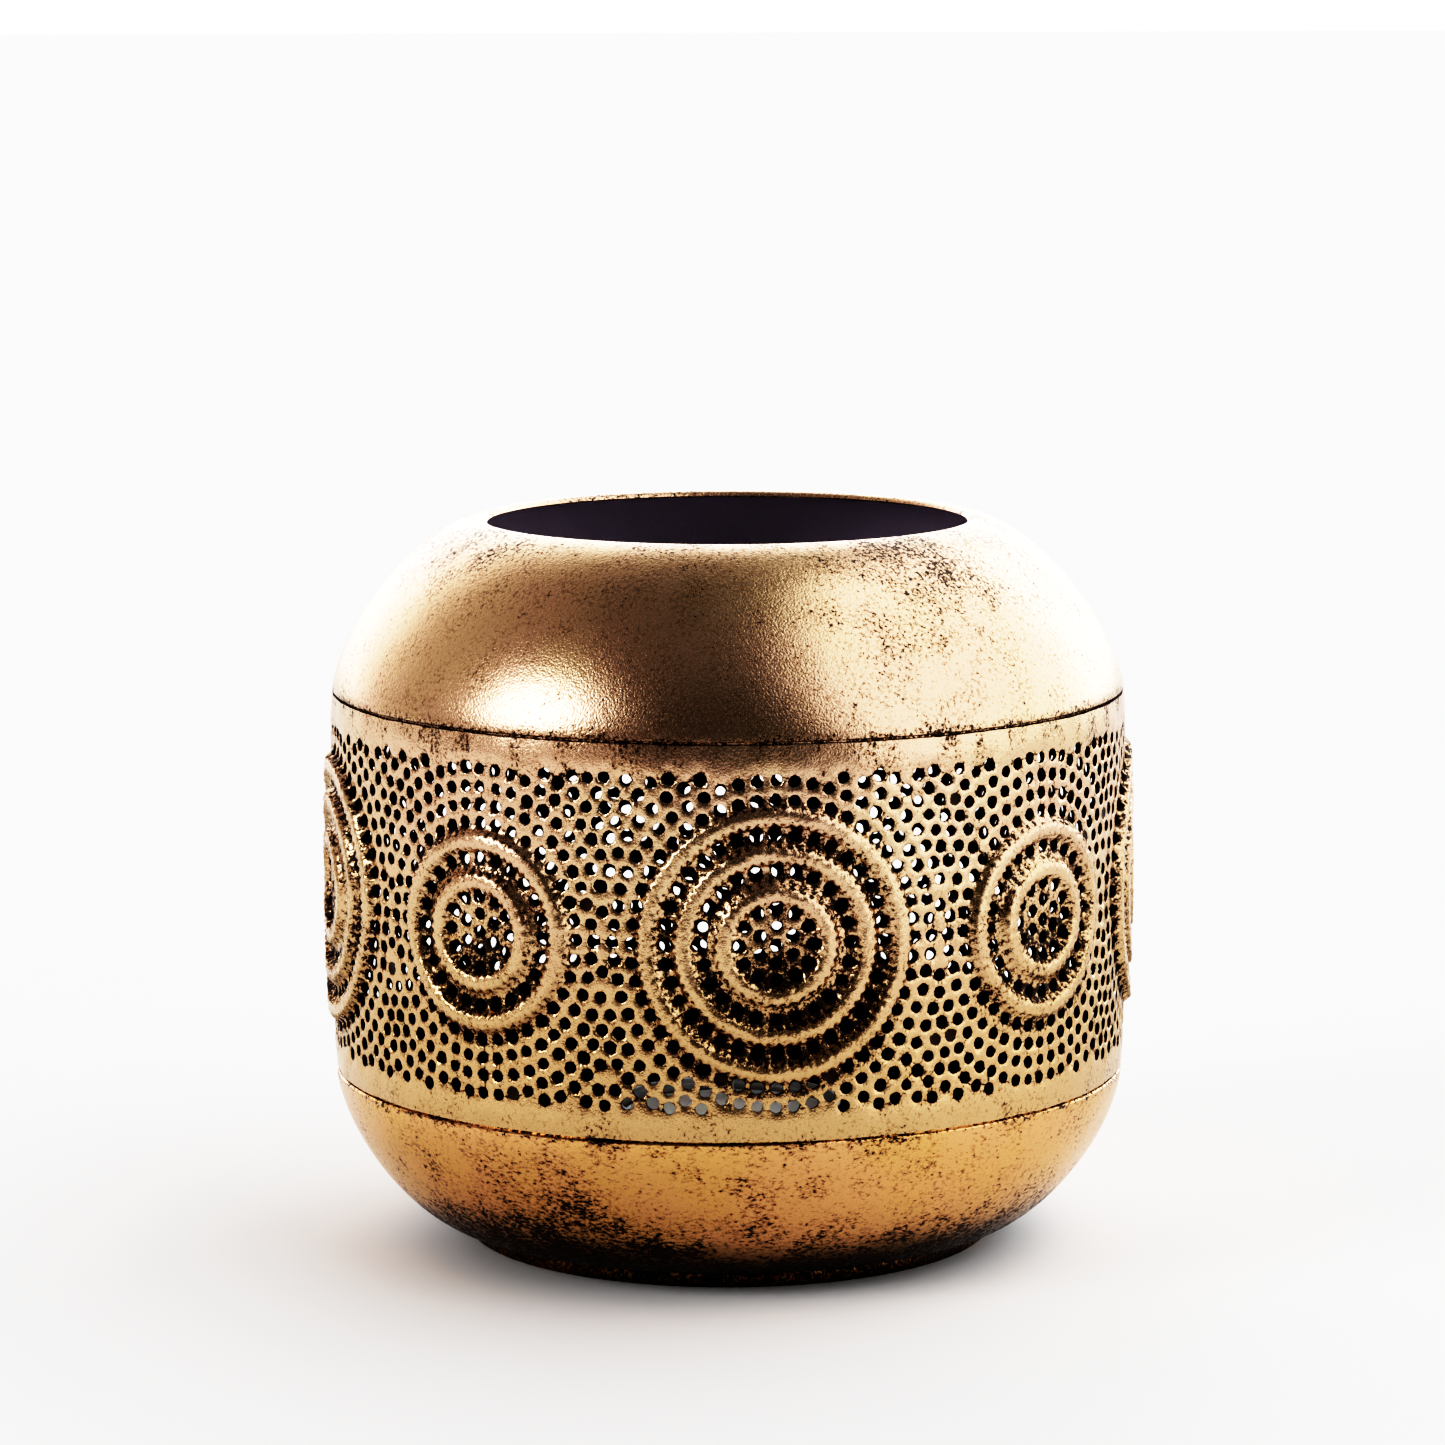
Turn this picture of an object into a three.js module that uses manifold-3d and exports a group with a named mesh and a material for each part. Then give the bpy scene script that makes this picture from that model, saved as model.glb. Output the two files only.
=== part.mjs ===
// Round lantern for one tealight: a spun bowl and a spun dome joined by a rolled band
// whose medallions of raised rings are pressed into the sheet, with a lift-out tealight.
// Millimetres, +Z up, origin at the centre of the foot ring's underside, front facing -Y.
import * as THREE from 'three';
import { mergeVertices } from 'three/addons/utils/BufferGeometryUtils.js';
import Module from 'manifold-3d';

const wasm = await Module();
wasm.setup();

// ---- driving dimensions ----
const SHEET = 0.8; // wall thickness of the shell pieces
const GAP = 0.3; // clearance between pieces that are soldered or rest on each other

const BAND_RADIUS = 66.3; // outside of the rolled band
const BAND_BOTTOM = 29.0; // lower seam
const BAND_TOP = 92.0; // upper seam
const LAP_CENTRE = 165; // degrees round from the front to the band's lap seam
const LAP_WIDTH = 7; // degrees of sheet doubled at the lap seam

const MEDALLION_COUNT = 8; // large and small by turns
const MEDALLION_PITCH = 42.6; // degrees from one medallion's centre to the next
const MEDALLION_FIRST = 6.33; // degrees from the front to the large medallion nearest it
const LARGE_RINGS = [8.15, 14.5, 20.4]; // crest radii of a large medallion's raised rings
const SMALL_RINGS = [8.15, 14.5]; // and of a small medallion's
const RING_HALF_WIDTH = 1.45;
const RING_HEIGHT = 1.0; // how far a raised ring stands out of the band

const SHOULDER_RADIUS = 66.0; // dome and bowl where they meet the band
const SPIGOT_DEPTH = 4.2; // turned-in collar of dome and bowl, inside the band
const CREST_HEIGHT = 120.5; // top of the whole object, on the lip round the mouth
const CREST_RADIUS = 41.3;
const LIP_RADIUS = 1.5; // outside of the lip, where it turns in and down
const LIP_START = 120; // degrees in the outline's plane, from outwards through upwards
const LIP_END = 150;
const DOME_FULLNESS = { across: 1.275, along: 1.41 }; // powers of the shoulder's curve
const BOWL_FULLNESS = { across: 1.428, along: 1.271 };

const FOOT_HEIGHT = 3.0;
const FOOT_RADIUS = 44.2;
const FOOT_WIDTH = 3.6;
const FOOT_EASE = 0.8; // bevel of the foot's outer edge
const FLOOR_RADIUS = 47.6; // flat floor of the bowl, where its side begins

const SEAT_RADIUS = 20.0; // inside of the seat's wall
const SEAT_WALL = 4.5; // height of the wall above the seat's floor
const SEAT_FLARE = 1.2; // how far the wall's rim leans out
const SEAT_EASE = 0.6; // bevel round the seat's underside
const CUP_RADIUS = 19.0;
const CUP_HEIGHT = 16.0;
const CUP_SHEET = 0.4;
const CUP_BEAD = 0.35; // how far the rolled rim stands out of the cup's wall
const CUP_BEAD_HEIGHT = 0.8;
const CUP_EASE = 1.0; // bevel round the cup's underside
const WAX_HEIGHT = 12.6;
const WAX_EASE = 0.9;
const MENISCUS_HEIGHT = 0.4; // how far the wax climbs the cup's wall
const MENISCUS_WIDTH = 0.8;
const WICK_RADIUS = 0.7;
const WICK_ABOVE_WAX = 6.5;
const WICK_TIP_RADIUS = 0.4;
const WICK_TIP_HEIGHT = 0.5;
const TAB_RADIUS = 6.25;
const TAB_SHEET = 0.4;
const TAB_COLLAR_HEIGHT = 3.0;

const SHELL_SIDES = 42; // facets round the dome, bowl and foot
const TEALIGHT_SIDES = 30; // facets round the seat, cup and wax
const TAB_SIDES = 20;
const WICK_SIDES = 10;
const OUTSIDE_STEPS = 9; // facets up the outside of the dome and of the bowl
const DOME_INSIDE_STEPS = 7;
const BOWL_INSIDE_STEPS = 6;
const RING_LEAST_STEPS = 6; // facets along a raised ring, and how many more for its radius
const RING_STEPS_PER_MM = 0.7;
const RING_SECTION_SIDES = 4;
const WELD_DISTANCE = 1e-4; // corners closer than this are one corner

// ---- heights and radii that follow from them ----
const BAND_INSIDE = BAND_RADIUS - SHEET;
const SPIGOT_RADIUS = BAND_INSIDE - GAP;
const BAND_MIDDLE = (BAND_BOTTOM + BAND_TOP) / 2;
const FLOOR_UNDERSIDE = FOOT_HEIGHT + GAP;
const SEAT_UNDERSIDE = FLOOR_UNDERSIDE + SHEET + GAP;
const CUP_UNDERSIDE = SEAT_UNDERSIDE + SHEET + GAP;
const TAB_UNDERSIDE = CUP_UNDERSIDE + CUP_SHEET + GAP;
const WAX_TOP = TAB_UNDERSIDE + WAX_HEIGHT;

// ---- finishes ----
const finish = (color, roughness, metalness) => ({ color, roughness, metalness });
const ANTIQUE_GOLD = finish(0xc8965a, 0.42, 0.9);
const DARKENED_GOLD = finish(0x8a6034, 0.5, 0.85);
const SEAT_METAL = finish(0x6e4c2a, 0.55, 0.85);
const ALUMINIUM = finish(0xc9cacc, 0.35, 0.95);
const PARAFFIN = finish(0xf2ede0, 0.45, 0);
const COTTON = finish(0xe6ddc8, 0.9, 0);
const TINPLATE = finish(0xa8a9ab, 0.35, 0.95);

const at = (radius, height) => new THREE.Vector2(radius, height);

// A body turned about the Z axis from its outline of (radius, height) points.
function turned(outline, sides) {
  return new THREE.LatheGeometry(outline, sides).rotateX(Math.PI / 2);
}

// A ring-like outline closes on its own first point.
const closed = (outline) => [...outline, outline[0].clone()];

// Quarter curve of a spun shell: vertical at (seamRadius, seamHeight), flat at (endRadius,
// endHeight). The two powers set how full the shoulder between them is.
function shellCurve(seamRadius, seamHeight, endRadius, endHeight, powers, steps) {
  const points = [];
  for (let step = 0; step <= steps; step += 1) {
    const angle = (step / steps) * (Math.PI / 2);
    const across = Math.cos(angle) ** powers.across;
    const along = Math.sin(angle) ** powers.along;
    points.push(at(endRadius + (seamRadius - endRadius) * across,
      seamHeight + (endHeight - seamHeight) * along));
  }
  return points;
}

// Points on a circle in the outline's plane, from one angle to another in degrees.
function arcPoints(centre, radius, from, to, steps) {
  const points = [];
  for (let step = 0; step <= steps; step += 1) {
    const angle = THREE.MathUtils.degToRad(from + ((to - from) * step) / steps);
    points.push(at(centre.x + radius * Math.cos(angle), centre.y + radius * Math.sin(angle)));
  }
  return points;
}

// Dome: a collar that slips inside the band, a joggle out to the band's face, the shoulder,
// and the lip turned in and down round the mouth.
function upperDome() {
  const shoulderFoot = BAND_TOP + GAP;
  const collarFoot = BAND_TOP - SPIGOT_DEPTH;
  const lipCentre = at(CREST_RADIUS, CREST_HEIGHT - LIP_RADIUS);
  const outside = shellCurve(SHOULDER_RADIUS, shoulderFoot, CREST_RADIUS, CREST_HEIGHT,
    DOME_FULLNESS, OUTSIDE_STEPS);
  const inside = shellCurve(SHOULDER_RADIUS - SHEET, shoulderFoot + SHEET, CREST_RADIUS,
    CREST_HEIGHT - SHEET, DOME_FULLNESS, DOME_INSIDE_STEPS).reverse();
  return turned(closed([
    at(SPIGOT_RADIUS, collarFoot),
    at(SPIGOT_RADIUS, shoulderFoot),
    ...outside,
    ...arcPoints(lipCentre, LIP_RADIUS, LIP_START, LIP_END, 1),
    ...arcPoints(lipCentre, LIP_RADIUS - SHEET, LIP_END, LIP_START, 1),
    ...inside,
    at(SPIGOT_RADIUS - SHEET, shoulderFoot + SHEET),
    at(SPIGOT_RADIUS - SHEET, collarFoot),
  ]), SHELL_SIDES);
}

// Bowl: a flat floor, the belly, a joggle in, and the collar that slips inside the band.
function lowerBowl() {
  const shoulderHead = BAND_BOTTOM - GAP;
  const collarHead = BAND_BOTTOM + SPIGOT_DEPTH;
  const floorTop = FLOOR_UNDERSIDE + SHEET;
  const outside = shellCurve(SHOULDER_RADIUS, shoulderHead, FLOOR_RADIUS, FLOOR_UNDERSIDE,
    BOWL_FULLNESS, OUTSIDE_STEPS).reverse();
  const inside = shellCurve(SHOULDER_RADIUS - SHEET, shoulderHead - SHEET, FLOOR_RADIUS,
    floorTop, BOWL_FULLNESS, BOWL_INSIDE_STEPS);
  return turned([
    at(0, FLOOR_UNDERSIDE),
    ...outside,
    at(SPIGOT_RADIUS, shoulderHead),
    at(SPIGOT_RADIUS, collarHead),
    at(SPIGOT_RADIUS - SHEET, collarHead),
    at(SPIGOT_RADIUS - SHEET, shoulderHead - SHEET),
    ...inside,
    at(0, floorTop),
  ], SHELL_SIDES);
}

// Plan outline of the rolled strip: once round, then a step out over its own start.
function rolledStripOutline() {
  const stepWidth = 2;
  const facet = 6;
  const start = LAP_CENTRE - LAP_WIDTH / 2;
  const stepStart = start + 360 - stepWidth;
  const end = start + 360 + LAP_WIDTH;
  const stations = [];
  for (let angle = start; angle < stepStart; angle += facet) {
    stations.push([angle, BAND_RADIUS]);
  }
  stations.push([stepStart, BAND_RADIUS]);
  for (const angle of [start + 360, end - LAP_WIDTH / 2, end]) {
    stations.push([angle, BAND_RADIUS + SHEET + GAP]);
  }
  const outer = stations.map(([angle, radius]) => roundTheBand(angle, radius));
  const inner = stations.map(([angle, radius]) => roundTheBand(angle, radius - SHEET));
  return new THREE.Shape([...outer, ...inner.reverse()]);
}

// Plan position at an angle measured from the front (-Y) towards +X.
function roundTheBand(degrees, radius) {
  const angle = THREE.MathUtils.degToRad(degrees);
  return at(radius * Math.sin(angle), -radius * Math.cos(angle));
}

// One raised ring: a ridge of diamond section, bent onto the band round its medallion.
function raisedRing(crestRadius, centreAngle) {
  const steps = RING_LEAST_STEPS + Math.round(crestRadius * RING_STEPS_PER_MM);
  const ring = new THREE.TorusGeometry(crestRadius, RING_HALF_WIDTH, RING_SECTION_SIDES, steps);
  const position = ring.attributes.position;
  for (let i = 0; i < position.count; i += 1) {
    const turn = THREE.MathUtils.radToDeg(position.getX(i) / BAND_RADIUS);
    const proud = (position.getZ(i) / RING_HALF_WIDTH) * RING_HEIGHT;
    const point = roundTheBand(centreAngle + turn, BAND_RADIUS + Math.max(proud, -SHEET / 2));
    position.setXYZ(i, point.x, point.y, BAND_MIDDLE + position.getY(i));
  }
  return ring;
}

// Closed three.js geometry to a manifold solid.
function solid(geometry) {
  const bare = geometry.clone();
  bare.deleteAttribute('normal');
  bare.deleteAttribute('uv');
  const merged = mergeVertices(bare, WELD_DISTANCE);
  return new wasm.Manifold(new wasm.Mesh({
    numProp: 3,
    vertProperties: merged.attributes.position.array,
    triVerts: new Uint32Array(merged.index.array),
  }));
}

// Manifold solid back to three.js geometry.
function fromSolid(body) {
  const mesh = body.getMesh();
  const geometry = new THREE.BufferGeometry();
  geometry.setAttribute('position', new THREE.BufferAttribute(mesh.vertProperties, 3));
  geometry.setIndex(new THREE.BufferAttribute(mesh.triVerts, 1));
  return geometry;
}

// Band: the rolled strip with the raised rings of eight medallions pressed out of it.
function perforatedBand() {
  const strip = new THREE.ExtrudeGeometry(rolledStripOutline(), {
    depth: BAND_TOP - BAND_BOTTOM,
    bevelEnabled: false,
  }).translate(0, 0, BAND_BOTTOM);
  let band = solid(strip);
  for (let place = 0; place < MEDALLION_COUNT; place += 1) {
    const step = place - MEDALLION_COUNT / 2;
    const rings = step % 2 === 0 ? LARGE_RINGS : SMALL_RINGS;
    for (const crestRadius of rings) {
      const centre = MEDALLION_FIRST + step * MEDALLION_PITCH;
      band = band.add(solid(raisedRing(crestRadius, centre)));
    }
  }
  return fromSolid(band);
}

// Foot: a flat ring soldered under the bowl, its outer edge eased.
function footRing() {
  const inner = FOOT_RADIUS - FOOT_WIDTH;
  return turned(closed([
    at(inner, 0),
    at(FOOT_RADIUS - FOOT_EASE, 0),
    at(FOOT_RADIUS, FOOT_EASE),
    at(FOOT_RADIUS, FOOT_HEIGHT),
    at(inner, FOOT_HEIGHT),
  ]), SHELL_SIDES);
}

// Seat: a shallow saucer soldered to the floor, its rim flared to guide the tealight in.
function tealightSeat() {
  const rim = SEAT_UNDERSIDE + SHEET + SEAT_WALL;
  const outside = SEAT_RADIUS + SHEET;
  return turned([
    at(0, SEAT_UNDERSIDE),
    at(outside - SEAT_EASE, SEAT_UNDERSIDE),
    at(outside, SEAT_UNDERSIDE + SEAT_EASE),
    at(outside, rim - SEAT_FLARE),
    at(outside + SEAT_FLARE, rim),
    at(SEAT_RADIUS + SEAT_FLARE, rim),
    at(SEAT_RADIUS, rim - SEAT_FLARE),
    at(SEAT_RADIUS, SEAT_UNDERSIDE + SHEET),
    at(0, SEAT_UNDERSIDE + SHEET),
  ], TEALIGHT_SIDES);
}

// Tealight's cup: thin drawn metal with a small rolled rim.
function tealightCup() {
  const rim = CUP_UNDERSIDE + CUP_HEIGHT;
  const outside = CUP_RADIUS - CUP_BEAD;
  const inside = outside - CUP_SHEET;
  const floorTop = CUP_UNDERSIDE + CUP_SHEET;
  const floorEdge = CUP_RADIUS - CUP_EASE;
  return turned([
    at(0, CUP_UNDERSIDE),
    at(floorEdge, CUP_UNDERSIDE),
    at(outside, CUP_UNDERSIDE + CUP_EASE),
    at(outside, rim - CUP_BEAD_HEIGHT),
    at(CUP_RADIUS, rim - CUP_BEAD_HEIGHT / 2),
    at(outside, rim),
    at(inside, rim),
    at(inside, floorTop + CUP_EASE - CUP_SHEET / 2),
    at(floorEdge - CUP_SHEET, floorTop),
    at(0, floorTop),
  ], TEALIGHT_SIDES);
}

// Wax: fills the cup, hollowed underneath for the wick's tab and bored for its collar.
function tealightWax() {
  const edge = CUP_RADIUS - CUP_BEAD - CUP_SHEET - GAP;
  const wickHole = WICK_RADIUS + GAP;
  const collarHole = wickHole + TAB_SHEET + GAP;
  const collarTop = TAB_UNDERSIDE + TAB_COLLAR_HEIGHT + GAP;
  return turned(closed([
    at(TAB_RADIUS + GAP, TAB_UNDERSIDE),
    at(edge - WAX_EASE, TAB_UNDERSIDE),
    at(edge, TAB_UNDERSIDE + WAX_EASE),
    at(edge, WAX_TOP + MENISCUS_HEIGHT),
    at(edge - MENISCUS_WIDTH, WAX_TOP),
    at(wickHole, WAX_TOP),
    at(wickHole, collarTop),
    at(collarHole, collarTop),
    at(collarHole, TAB_UNDERSIDE + TAB_SHEET + GAP),
    at(TAB_RADIUS + GAP, TAB_UNDERSIDE + TAB_SHEET + GAP),
  ]), TEALIGHT_SIDES);
}

// Wick tab: a pressed disc on the cup's floor with a collar that grips the wick.
function wickTab() {
  const bore = WICK_RADIUS + GAP;
  return turned(closed([
    at(bore, TAB_UNDERSIDE),
    at(TAB_RADIUS, TAB_UNDERSIDE),
    at(TAB_RADIUS, TAB_UNDERSIDE + TAB_SHEET),
    at(bore + TAB_SHEET, TAB_UNDERSIDE + TAB_SHEET),
    at(bore + TAB_SHEET, TAB_UNDERSIDE + TAB_COLLAR_HEIGHT),
    at(bore, TAB_UNDERSIDE + TAB_COLLAR_HEIGHT),
  ]), TAB_SIDES);
}

// Wick: a stiff waxed cord up through the collar and the wax, its end standing clear.
function tealightWick() {
  const top = WAX_TOP + WICK_ABOVE_WAX;
  return turned([
    at(0, TAB_UNDERSIDE),
    at(WICK_RADIUS, TAB_UNDERSIDE),
    at(WICK_RADIUS, top - WICK_TIP_HEIGHT),
    at(WICK_TIP_RADIUS, top),
    at(0, top),
  ], WICK_SIDES);
}

function named(name, geometry, look) {
  const mesh = new THREE.Mesh(geometry, new THREE.MeshStandardMaterial(look));
  mesh.name = name;
  return mesh;
}

const shell = new THREE.Group();
shell.add(named('upper_dome', upperDome(), ANTIQUE_GOLD));
shell.add(named('perforated_band', perforatedBand(), ANTIQUE_GOLD));
shell.add(named('lower_bowl', lowerBowl(), ANTIQUE_GOLD));
shell.add(named('foot_ring', footRing(), DARKENED_GOLD));
shell.add(named('tealight_seat', tealightSeat(), SEAT_METAL));

const tealight = new THREE.Group();
tealight.add(named('tealight_cup', tealightCup(), ALUMINIUM));
tealight.add(named('tealight_wax', tealightWax(), PARAFFIN));
tealight.add(named('wick_tab', wickTab(), TINPLATE));
tealight.add(named('tealight_wick', tealightWick(), COTTON));

const holder = new THREE.Group();
holder.add(shell, tealight);
export default holder;
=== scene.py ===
"""Looks for the pierced tealight holder: a fine mesh and a finish for every piece of the frame."""

import math
import random

import bpy
import numpy as np
from mathutils import Euler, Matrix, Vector
from mathutils.geometry import delaunay_2d_cdt
from mathutils.kdtree import KDTree


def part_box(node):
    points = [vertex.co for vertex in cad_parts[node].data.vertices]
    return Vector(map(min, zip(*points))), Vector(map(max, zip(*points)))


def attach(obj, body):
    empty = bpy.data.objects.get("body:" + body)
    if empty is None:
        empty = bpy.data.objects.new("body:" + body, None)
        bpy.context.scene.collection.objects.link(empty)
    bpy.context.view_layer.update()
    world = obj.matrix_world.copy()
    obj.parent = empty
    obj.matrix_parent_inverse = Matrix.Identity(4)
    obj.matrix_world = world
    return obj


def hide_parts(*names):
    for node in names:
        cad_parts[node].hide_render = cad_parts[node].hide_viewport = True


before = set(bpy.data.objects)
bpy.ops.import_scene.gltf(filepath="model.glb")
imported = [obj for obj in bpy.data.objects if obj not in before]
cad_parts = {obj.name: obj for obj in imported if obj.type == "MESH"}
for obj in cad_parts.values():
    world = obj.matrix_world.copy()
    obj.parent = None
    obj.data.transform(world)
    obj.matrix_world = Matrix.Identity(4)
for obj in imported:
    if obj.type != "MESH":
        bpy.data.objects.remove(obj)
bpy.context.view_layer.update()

MM = 0.001
CHANCE = random.Random(55)


def node_box(node):
    """Lowest and highest corners of a CAD node, in millimetres."""
    low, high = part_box(node)
    return low / MM, high / MM


# ---- places taken from the frame, in millimetres ----
BAND_LOW = node_box("perforated_band")[0].z
BAND_HIGH = node_box("perforated_band")[1].z
BAND_MIDDLE = (BAND_LOW + BAND_HIGH) / 2
DOME_RADIUS = node_box("upper_dome")[1].y
DOME_COLLAR = node_box("upper_dome")[0].z
CREST = node_box("upper_dome")[1].z
BOWL_RADIUS = node_box("lower_bowl")[1].y
BOWL_COLLAR = node_box("lower_bowl")[1].z
BOWL_UNDERSIDE = node_box("lower_bowl")[0].z
FOOT_RADIUS = node_box("foot_ring")[1].y
FOOT_TOP = node_box("foot_ring")[1].z
SEAT_LOW, SEAT_HIGH = node_box("tealight_seat")
CUP_LOW, CUP_HIGH = node_box("tealight_cup")
WAX_LOW, WAX_HIGH = node_box("tealight_wax")
TAB_LOW, TAB_HIGH = node_box("wick_tab")
WICK_LOW, WICK_HIGH = node_box("tealight_wick")

# ---- sheet metal ----
SHEET = 0.55
SEAM = 0.3  # dark gap left where two shell pieces meet
BAND_RADIUS = DOME_RADIUS + SEAM
SPIGOT_RADIUS = BAND_RADIUS - 1.1
CREST_RADIUS = 41.3
LIP_RADIUS = 1.5
FLOOR_RADIUS = 47.6
DOME_FULLNESS = (1.275, 1.41)  # powers of the shoulder's curve, across and up
BOWL_FULLNESS = (1.428, 1.271)

# ---- the band's pattern ----
MEDALLION_FIRST = 6.33  # degrees round from the front to the nearest large medallion
MEDALLION_PITCH = 42.6
MEDALLION_STEPS = range(-4, 4)
LAP_CENTRE = 165.0  # degrees round from the front to the lap seam
LAP_WIDTH = 7.0
HOLE_RADIUS = 1.02
HOLE_SIDES = 11
HOLE_PITCH = 2.95
RIDGE_CREST = 0.72  # half width of a pressed ring's flat crest
RIDGE_FOOT = 2.15  # half width at its foot
RIDGE_HEIGHT = 1.1
RIDGE_SECTION = (-RIDGE_FOOT, -1.7, -1.2, -RIDGE_CREST, 0.0, RIDGE_CREST, 1.2, 1.7, RIDGE_FOOT)
PLEAT_PITCH = 1.44
PLEAT_DEPTH = 0.30
FIELD_HALF_HEIGHT = 26.1
LARGE_RIDGES = (8.15, 14.5, 20.4)
SMALL_RIDGES = (8.15, 14.5)
HOLE_CLEARANCE = 0.22  # nearest that a point of the web comes to a hole's rim
BLIND_SHARE = 0.012
PUNCH_SCATTER = 0.07
EVEN_PITCH = 2.85  # spacing that the holes of the open field are nudged to
HEART_RINGS = ((0.0, 1), (3.0, 6), (5.75, 12), (11.85, 24), (17.45, 36))
LARGE_FIELD = (22.9, 3.0)  # first ring of holes outside a medallion, and its rings' pitch
SMALL_FIELD = (20.35, 2.9)
FIELD_REACH = 46
LEAST_PITCH = 2.45
LARGE_LEAD = 5.9  # how much further a large medallion's rings reach than a small one's


# ---------------------------------------------------------------- mesh helpers
def make_piece(name, vertices, faces, material, body, stands_for, smooth=35):
    """A mesh piece from millimetre vertices, shaded smooth below the given angle."""
    mesh = bpy.data.meshes.new(name)
    mesh.from_pydata((np.asarray(vertices, float) * MM).tolist(), [], faces)
    mesh.validate()
    mesh.update()
    mesh.polygons.foreach_set("use_smooth", [True] * len(mesh.polygons))
    mesh.set_sharp_from_angle(angle=math.radians(smooth))
    piece = bpy.data.objects.new(name, mesh)
    bpy.context.scene.collection.objects.link(piece)
    for item in material if isinstance(material, (list, tuple)) else [material]:
        mesh.materials.append(item)
    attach(piece, body)
    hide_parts(stands_for)
    return piece


def turned(outline, sides, wobble=None):
    """Vertices and faces of an outline of (radius, height) turned about Z.

    An outline that starts and ends on the axis makes a solid; any other closes on itself.
    """
    on_axis = outline[0][0] == 0 and outline[-1][0] == 0
    rings = outline[1:-1] if on_axis else outline
    vertices = []
    for radius, height in rings:
        for side in range(sides):
            angle = math.tau * side / sides
            grown = radius + (wobble(angle, height) if wobble else 0.0)
            vertices.append((grown * math.sin(angle), -grown * math.cos(angle), height))
    faces = []
    spans = len(rings) - 1 if on_axis else len(rings)
    for ring in range(spans):
        here, there = ring * sides, (ring + 1) % len(rings) * sides
        for side in range(sides):
            beside = (side + 1) % sides
            faces.append((here + side, here + beside, there + beside, there + side))
    if on_axis:
        for ring, point, step in ((0, outline[0], -1), (len(rings) - 1, outline[-1], 1)):
            vertices.append((0.0, 0.0, point[1]))
            for side in range(sides):
                pair = (ring * sides + side, ring * sides + (side + 1) % sides)
                faces.append((*pair[::step], len(vertices) - 1))
    return vertices, faces


def shell_curve(seam, end, fullness, steps):
    """Quarter curve from seam (radius, height), where it is vertical, to end, where it is flat."""
    points = []
    for step in range(steps + 1):
        angle = step / steps * math.pi / 2
        points.append((
            end[0] + (seam[0] - end[0]) * math.cos(angle) ** fullness[0],
            seam[1] + (end[1] - seam[1]) * math.sin(angle) ** fullness[1],
        ))
    return points


def arc(centre, radius, start, stop, steps):
    """Points on a circle in the outline's plane, between two angles in degrees."""
    angles = [math.radians(start + (stop - start) * i / steps) for i in range(steps + 1)]
    return [(centre[0] + radius * math.cos(a), centre[1] + radius * math.sin(a)) for a in angles]


def hand_spun(amount, seed):
    """A slight, slow unevenness of radius, as on a shell spun and planished by hand."""
    phase = [random.Random(seed + i).uniform(0, math.tau) for i in range(6)]

    def wobble(angle, height):
        waves = (
            0.40 * math.sin(2 * angle + phase[0])
            + 0.30 * math.sin(3 * angle + phase[1] + height * 0.05)
            + 0.16 * math.sin(7 * angle + phase[2] + height * 0.13)
            + 0.10 * math.sin(13 * angle + phase[3] - height * 0.21)
            + 0.08 * math.sin(19 * angle + phase[4] + height * 0.35)
        )
        return amount * waves

    return wobble


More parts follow.
